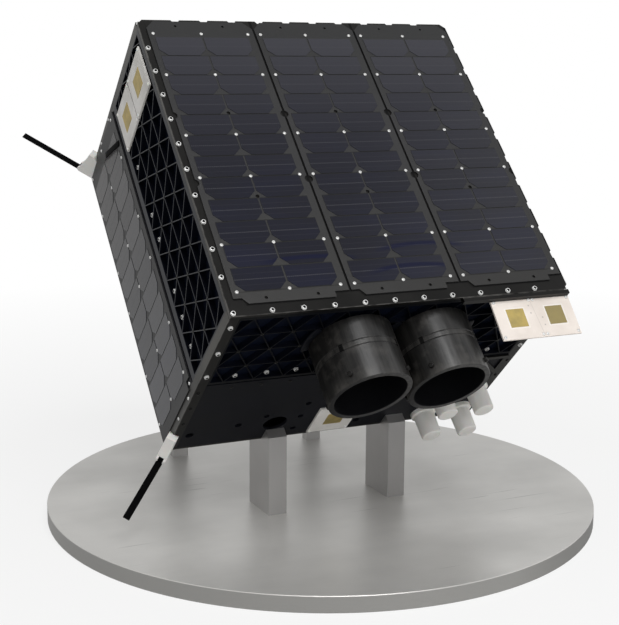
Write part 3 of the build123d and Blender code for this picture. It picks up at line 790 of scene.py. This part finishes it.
# %% Every solid piece gets the finish of its slot
steel = brushed("screw_steel", rgb(0.78, 0.78, 0.77), (300.0, 300.0, 300.0), 0.32, 0.4)
frame_black = anodised(
    "frame_black", rgb(0.0032, 0.003, 0.0027), rgb(0.0075, 0.007, 0.0064), 0.2, 0.34, wear_and_painted_light=True)
FINISHES = {
    "brushed_plinth": brushed(
        "brushed_plinth", rgb(0.66, 0.65, 0.625), (14.0, 900.0, 900.0), 0.38, 0.45, rim=True),
    "brushed_post": brushed(
        "brushed_post", rgb(0.5, 0.49, 0.485), (900.0, 900.0, 16.0), 0.34, 0.8, front=True),
    "ring_metal": turned_ring(),
    "black_frame": frame_black,
    "black_isogrid": isogrid_black(),
    "black_plate": anodised(
        "plate_black", rgb(0.0033, 0.0037, 0.0058), rgb(0.0072, 0.0078, 0.0118), 0.12, 0.5),
    "panel_board": laminate(),
    "solar_cell": silicon("deck_silicon", True),
    "black_baffle": baffle_coat(),
    "dark_lens": coated_glass(),
    "white_plastic": milky(),
    "white_board": white_laminate(),
    "gold_patch": gold_plate(),
    "black_blade": anodised(
        "blade_black", rgb(0.001, 0.001, 0.0012), rgb(0.0024, 0.0024, 0.0026), 0.03, 0.6),
}
side_silicon = silicon("side_silicon", False)
for part in frame["record"]["subparts"]:
    solid = nodes[part["node"]]
    finish = FINISHES[part["material_slot"]]
    if part["node"] in ("solar_cells_left", "solar_cells_right"):
        finish = side_silicon
    solid.data.materials.clear()
    solid.data.materials.append(finish)

# %% [markdown]
# ## Modelling helpers
#
# A screw is modelled once at the origin, standing on the floor, and then stamped wherever one sits. The
# edit mode operators act on what is selected, so each step first clears the selection and then picks faces
# or edges by their place.

# %% Select, settle and stamp


def alone(piece):
    """Only this piece is selected and active."""
    bpy.ops.object.select_all(action="DESELECT")
    piece.select_set(True)
    bpy.context.view_layer.objects.active = piece


def settle(piece):
    """Its place, turn and size go into its mesh, and its shading is smooth but for sharp edges."""
    alone(piece)
    bpy.ops.object.transform_apply(location=True, rotation=True, scale=True)
    bpy.ops.object.shade_smooth_by_angle(angle=math.radians(35))


def edit(piece, kind, test):
    """Edit mode with the edges or faces selected whose middle passes the test."""
    alone(piece)
    mesh = piece.data
    bpy.context.tool_settings.mesh_select_mode = (False, kind == "EDGE", kind == "FACE")
    for group in (mesh.vertices, mesh.edges, mesh.polygons):
        group.foreach_set("select", [False] * len(group))
    if kind == "FACE":
        for face in mesh.polygons:
            face.select = test(face.center)
    else:
        for edge in mesh.edges:
            first, second = [mesh.vertices[index].co for index in edge.vertices]
            edge.select = test((first + second) / 2)
    bpy.ops.object.mode_set(mode="EDIT")


def round_edges(piece, size, segments, test):
    """Bevels the edges that pass the test, back in object mode."""
    edit(piece, "EDGE", test)
    bpy.ops.mesh.bevel(offset=size, segments=segments, affect="EDGES")
    bpy.ops.object.mode_set(mode="OBJECT")


def cut(piece, cutter):
    """Takes the cutter out of the piece."""
    hole = piece.modifiers.new("hole", "BOOLEAN")
    hole.operation = "DIFFERENCE"
    hole.object = cutter
    alone(piece)
    bpy.ops.object.modifier_apply(modifier="hole")
    bpy.data.objects.remove(cutter)


def stamp(name, pattern, spots, slot=None, finish=None):
    """Copies a pattern to each spot, every copy with its own mesh, and joins them into one piece.

    Its finish is that of a slot, or the one that is handed over, or else the pattern's own.
    """
    bpy.ops.object.select_all(action="DESELECT")
    copies = []
    for spot in spots:
        copy = pattern.copy()
        copy.data = pattern.data.copy()
        copy.data.transform(spot)
        bpy.context.scene.collection.objects.link(copy)
        copy.select_set(True)
        copies.append(copy)
    bpy.context.view_layer.objects.active = copies[0]
    if len(copies) > 1:
        bpy.ops.object.join()
    piece = bpy.context.object
    piece.name = name
    if slot:
        finish = FINISHES[slot]
    if finish:
        piece.data.materials.clear()
        piece.data.materials.append(finish)
    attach(piece, "satellite")
    print(name, len(copies), "copies,", len(piece.data.polygons), "faces")
    return piece


def cylinder(radius, low, high, sides):
    """An upright cylinder round the origin, between two heights."""
    bpy.ops.mesh.primitive_cylinder_add(
        vertices=sides, radius=radius, depth=high - low, location=(0, 0, (low + high) / 2))
    piece = bpy.context.object
    bpy.ops.object.transform_apply(location=True)
    return piece


def draw_out(piece, thickness, high, taper=1.0):
    """Insets a cylinder's top and draws it up into a narrower part, which may taper."""
    top = max(vertex.co.z for vertex in piece.data.vertices)
    edit(piece, "FACE", lambda middle: middle.z > top * 0.99)
    bpy.ops.mesh.inset(thickness=thickness)
    bpy.ops.mesh.extrude_region_move(TRANSFORM_OT_translate={"value": (0, 0, high)})
    bpy.ops.transform.resize(value=(taper, taper, 1))
    bpy.ops.object.mode_set(mode="OBJECT")


# %% [markdown]
# ## Socket screws round the deck
#
# The deck is held by cap screws at a 50 mm pitch, each on a washer. Their dark hexagon sockets show in the
# photograph, so the head is a washer with a smaller cylinder drawn up out of it, its rim is rounded by a
# bevel, and the socket is cut by a six-sided prism. The inside of the socket gets the black frame finish as
# painted shade. Each screw is turned by its own amount, as real ones are, so a place or a count also serves
# as the turn.

# %% A cap screw


def cap_screw(washer, flat, radius, high, key):
    """A washer with a head drawn up out of it, whose socket gets the black frame finish inside, as painted
    shade.
    """
    head = cylinder(washer, 0, flat, 24)
    draw_out(head, washer - radius, high)
    round_edges(head, radius * 0.16, 2, lambda middle: middle.z > (flat + high) * 0.99)
    cut(head, cylinder(key, flat, high * 2, 6))
    settle(head)
    head.data.materials.append(steel)
    head.data.materials.append(frame_black)
    # Painted shade: the faces inside the socket get the black frame finish
    for face in head.data.polygons:
        face.material_index = int(face.center.xy.length < key and flat * 0.5 < face.center.z < high)
    return head


cap = cap_screw(washer=4.1 * MM, flat=0.7 * MM, radius=3.6 * MM, high=2.2 * MM, key=2.45 * MM)

# %% Cap screws round the deck: each row's first screw across and down the deck, its depth, and its way
PITCH = 50.0
width, length = WIDTH / MM, LENGTH / MM
DECK_ROWS = (
    (4.6, 64.1, 0, (0, PITCH)), (65.9, length - 5.6, 0, (PITCH, 0)),
    (66.0, 4.2, -5.8, (PITCH, 0)), (width - 4.2, 64.0, -5.8, (0, PITCH)))
DECK_CORNERS = (
    (4.2, 4.2, -6), (width - 4.2, 4.2, -6), (width - 4.2, length - 4.2, -6), (5.2, length - 5.2, 0))
spots = [seat("top", u + way[0] * step, v + way[1] * step, rise, step)
         for u, v, rise, way in DECK_ROWS for step in range(10)]
spots += [seat("top", *corner) for corner in DECK_CORNERS]
stamp("deck_cap_screws", cap, spots)

# %% Cap screws on the rails and the bottom plate
FLANGE_INSET = 8.0
RAIL_SCREWS = (28.6, 97.7, 163.6)
both_rails = (FLANGE_INSET, width - FLANGE_INSET)
spots = [seat(face, u, v, 0, v) for face in ("front", "back") for u in both_rails for v in RAIL_SCREWS]
spots += [seat("bottom", 40 + PITCH * step, v, 0, step)
          for v in (FLANGE_INSET, length - FLANGE_INSET) for step in range(11)]
spots += [seat("bottom", u, 41 + PITCH * step, 0, step) for u in both_rails for step in range(11)]
stamp("plate_cap_screws", cap, spots)

# %% The isogrid's feet are bolted down through round bosses in its lowest pockets
POCKET = -3.2
SIDE_FEET = (66.5, 117.0, 167.5, 267.5, 316.9, 417.7, 467.1, 521.0)
FRONT_FEET = (57.0, 109.8, 159.6, 410.0, 460.4, 510.8)
foot_boss = cylinder(4.8 * MM, -6.9 * MM, 0, 20)
round_edges(foot_boss, 0.5 * MM, 2, lambda middle: middle.z > -0.01 * MM)
settle(foot_boss)
spots = [seat(face, u, 173.0, POCKET, u) for face in ("left", "right") for u in SIDE_FEET]
spots += [seat(face, u, 172.0, POCKET, u) for face in ("front", "back") for u in FRONT_FEET]
stamp("isogrid_foot_bosses", foot_boss, spots, "black_isogrid")
stamp("isogrid_foot_screws", cap, spots)

# %% [markdown]
# ## Small screws in the panels and walls
#
# The solar panels, the rails, the lower walls and the patch boards are held by smaller button heads. A
# button is a low dome, made from a cylinder whose top rim has a wide bevel, with a small hexagon socket.
# Those of the walls are black, and those of the side and front boards are white nylon.

# %% Button screws


def button_screw(radius, high, key):
    """A low dome with a socket."""
    head = cylinder(radius, 0, high, 20)
    round_edges(head, high * 0.8, 3, lambda middle: middle.z > high * 0.99)
    cut(head, cylinder(key, high * 0.5, high * 1.5, 6))
    settle(head)
    return head


button = button_screw(radius=2.8 * MM, high=1.6 * MM, key=1.0 * MM)

# %% Buttons in the panels, on the face of a 2 mm board
BOARD = 2.0
DECK_COLUMNS = (20.2, 103.08, 185.96)
DECK_SCREW_ROWS = (33.0, 123.5, 249.2, 333.0, 458.7, 542.4)
SIDE_COLUMNS = (20.5, 105.0, 231.7, 316.9, 444.4, 537.0)
SIDE_ROWS = (222.0, 304.9, 386.8)
EDGE_ROWS = (237.0, 301.0, 366.0)
spots = [seat("top", u + panel * PANEL_PITCH / MM, v, BOARD, u * v)
         for panel in range(3) for u in DECK_COLUMNS for v in DECK_SCREW_ROWS]
stamp("deck_panel_screws", button, spots, finish=steel)
spots = []
for face in ("left", "right"):
    spots += [seat(face, u, v, BOARD, u * v) for u in SIDE_COLUMNS for v in SIDE_ROWS]
    spots += [seat(face, u, v, 0, v) for u in (6.4, 575.6) for v in EDGE_ROWS]
    spots.append(seat(face, 561.0, 216.0))
stamp("side_panel_screws", button, spots, finish=steel)

# %% Buttons in the walls: down the rails and along the top of the lower walls
WALL_TOP = 204.0
spots = []
for face in ("front", "back"):
    spots += [seat(face, u, v, 0, u) for u in both_rails for v in (214.0, 262.0, 310.0, 352.0)]
spots += [seat("front", u, WALL_TOP, 0, u) for u in (60.0, 110.0, 160.0, 210.0, 310.0, 360.0, 410.0)]
spots += [seat("back", 60.0 + PITCH * step, WALL_TOP, 0, step) for step in range(10)]
stamp("wall_screws", button, spots, "black_frame")

# %% Screws of the patch boards, white nylon on the side and front boards and steel on the shelf
PATCH_BOARD = 3.0
SHELF_SCREWS = (
    (4.5, 9), (140.5, 9), (4.5, 69), (140.5, 69), (69, 8.5), (76.5, 8.5), (74.5, 69), (82, 69))
spots = [seat("left", u, v, PATCH_BOARD, u) for u in (44, 119) for v in (24, 98, 109, 182)]
spots += [seat("front", u, v, PATCH_BOARD, u) for u in (254, 322) for v in (314, 384)]
stamp("board_nylon_screws", button, spots, "white_plastic")
spots = [seat("shelf", u, v, 0, u) for u, v in SHELF_SCREWS]
stamp("shelf_screws", button, spots, finish=steel)

# %% [markdown]
# ## Bosses where the ribs meet
#
# Six ribs of the isogrid run together in each node, and a small round boss with a screw hole sits there.
# It is a low cylinder with a rounded rim and a hole. The rows of nodes lie half a pitch apart. Nodes behind
# the side boards and behind the baffles have none.

# %% Node bosses
ROW_RISE = PITCH * math.sqrt(3) / 2
MARGIN = 24.0
BOARDS_END = 128.0
BAFFLES_MIDDLE = 290.0
BAFFLES_REACH = 138.0
BAFFLES_END = 160.0
boss = cylinder(2.8 * MM, -0.2 * MM, 0.5 * MM, 16)
round_edges(boss, 0.25 * MM, 2, lambda middle: middle.z > 0.49 * MM)
cut(boss, cylinder(1.1 * MM, -0.1 * MM, 1 * MM, 12))
settle(boss)
spots = []
for face, side, first, start in (
        ("left", length, 37.06, 58.0), ("right", length, 37.06, 58.0),
        ("front", width, 40.7, 54.9), ("back", width, 40.7, 54.9)):
    for row in range(3):
        for step in range(22):
            u = first + PITCH * (step if row == 1 else step + 0.5)
            v = start + ROW_RISE * row
            under_board = face == "left" and u < BOARDS_END
            under_baffle = face == "front" and abs(u - BAFFLES_MIDDLE) < BAFFLES_REACH and v < BAFFLES_END
            if MARGIN < u < side - MARGIN and not under_board and not under_baffle:
                spots.append(seat(face, u, v))
stamp("isogrid_bosses", boss, spots, "black_frame")

# %% [markdown]
# ## Trim on the baffles
#
# Each baffle carries four round knobs near its mouth, which hold its dust cap, and two thin ears at its
# foot. A knob is a short cylinder with a rounded rim that stands straight out of the tube. An ear is a flat
# strip swept round the tube's axis, with a rounded edge.

# %% Knobs
KNOB_HIGH = 4.8 * MM
KNOB_PLACE = LENGTH + 88 * MM
knob = cylinder(4.1 * MM, -1 * MM, KNOB_HIGH, 20)
round_edges(knob, 1.3 * MM, 3, lambda middle: middle.z > KNOB_HIGH * 0.99)
settle(knob)
spots = []
for centre in BAFFLE_CENTRES:
    for degrees in (45, 135, 225, 315):
        angle = math.radians(degrees)
        out = ACROSS * math.cos(angle) + INWARD * math.sin(angle)
        axes = Matrix((ALONG, out.cross(ALONG), out)).transposed().to_4x4()
        axes.translation = place(centre * MM, KNOB_PLACE, BAFFLE_DEPTH * MM) + out * BAFFLE_RADIUS * MM
        spots.append(axes)
stamp("baffle_knobs", knob, spots, "black_frame")

# %% Ears: inner and outer radius, thickness and sweep
EAR_INNER = 67.0 * MM
EAR_OUTER = 79.0 * MM
EAR_THICK = 2.5 * MM
EAR_SWEEP = 46
bpy.ops.mesh.primitive_plane_add(size=1, location=((EAR_INNER + EAR_OUTER) / 2, 0, EAR_THICK / 2))
ear = bpy.context.object
ear.scale = (EAR_OUTER - EAR_INNER, EAR_THICK, 1)
ear.rotation_euler = (math.radians(90), 0, 0)
bpy.ops.object.transform_apply(location=True, rotation=True, scale=True)
edit(ear, "FACE", lambda middle: True)
bpy.ops.mesh.spin(steps=14, angle=math.radians(EAR_SWEEP), center=(0, 0, 0), axis=(0, 0, 1))
bpy.ops.mesh.select_all(action="SELECT")
bpy.ops.mesh.remove_doubles(threshold=0.01 * MM)
bpy.ops.mesh.normals_make_consistent(inside=False)
bpy.ops.object.mode_set(mode="OBJECT")
rim = ear.modifiers.new("rim", "BEVEL")
rim.width = 0.7 * MM
rim.segments = 2
rim.limit_method = "ANGLE"
alone(ear)
bpy.ops.object.modifier_apply(modifier="rim")
settle(ear)
spots = [seat("front", centre, BAFFLE_DEPTH, 0, math.radians(middle - EAR_SWEEP / 2))
         for centre in BAFFLE_CENTRES for middle in (40, 220)]
stamp("baffle_ears", ear, spots, "black_plate")

# %% [markdown]
# ## Terminal strips on the side panels
#
# Across the first cell of a side panel lies a dark plastic strip that covers the soldered wires. It is a
# low bar with rounded edges, and it leans over as it does in the photograph.

# %% Terminal strips: length, width and height, and in millimetres their place on a side's cells
STRIP = (82.0 * MM, 10.0 * MM, 1.2 * MM)
STRIP_PLACE = (62.0, 251.0, 2.5)
STRIP_LEAN = math.radians(65)
bpy.ops.mesh.primitive_cube_add(size=1, location=(0, 0, STRIP[2] / 2))
strip = bpy.context.object
strip.scale = STRIP
bpy.ops.object.transform_apply(location=True, scale=True)
round_edges(strip, 0.7 * MM, 3, lambda middle: middle.z > STRIP[2] * 0.4)
settle(strip)
spots = [seat("left", *STRIP_PLACE, STRIP_LEAN), seat("right", *STRIP_PLACE, -STRIP_LEAN)]
stamp("terminal_strips", strip, spots, "black_blade")

# %% [markdown]
# ## Radomes with soft edges
#
# A radome is a turned piece: a round flange and a slightly tapered tube with a softly rounded tip. It starts
# as the flange, the tube is drawn up out of it, and three rims are rounded: the flange's, the tube's foot
# and its tip. It takes the place of the plain solid.

# %% Radomes: the radius and the top of the flange and of the tube
RADOME_SPOTS = ((472.0, 297.0), (544.5, 297.0), (472.0, 370.5), (544.5, 370.5))
FLANGE = (22.9 * MM, 7.4 * MM)
TUBE = (18.7 * MM, 49.4 * MM)
TAPER = 0.945


def round_rim(piece, radius, height, size, segments):
    """Rounds the ring of edges at this radius and height."""
    round_edges(piece, size, segments, lambda middle: abs(
        middle.xy.length - radius) < 0.02 * radius and abs(middle.z - height) < 0.01 * MM)


radome = cylinder(FLANGE[0], 0, FLANGE[1], 48)
draw_out(radome, FLANGE[0] - TUBE[0], TUBE[1] - FLANGE[1], TAPER)
round_rim(radome, FLANGE[0], FLANGE[1], 1.7 * MM, 3)
round_rim(radome, TUBE[0], FLANGE[1], 1.0 * MM, 3)
round_rim(radome, TUBE[0] * TAPER, TUBE[1], 3.0 * MM, 5)
settle(radome)
for number, (u, v) in enumerate(RADOME_SPOTS):
    made = stamp(f"radome_skin_{number + 1}", radome, [seat("front", u, v)], "white_plastic")
    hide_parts(f"radome_{number + 1}")

# %% The patterns have done their work
for pattern in (cap, foot_boss, button, boss, knob, ear, strip, radome):
    bpy.data.objects.remove(pattern)
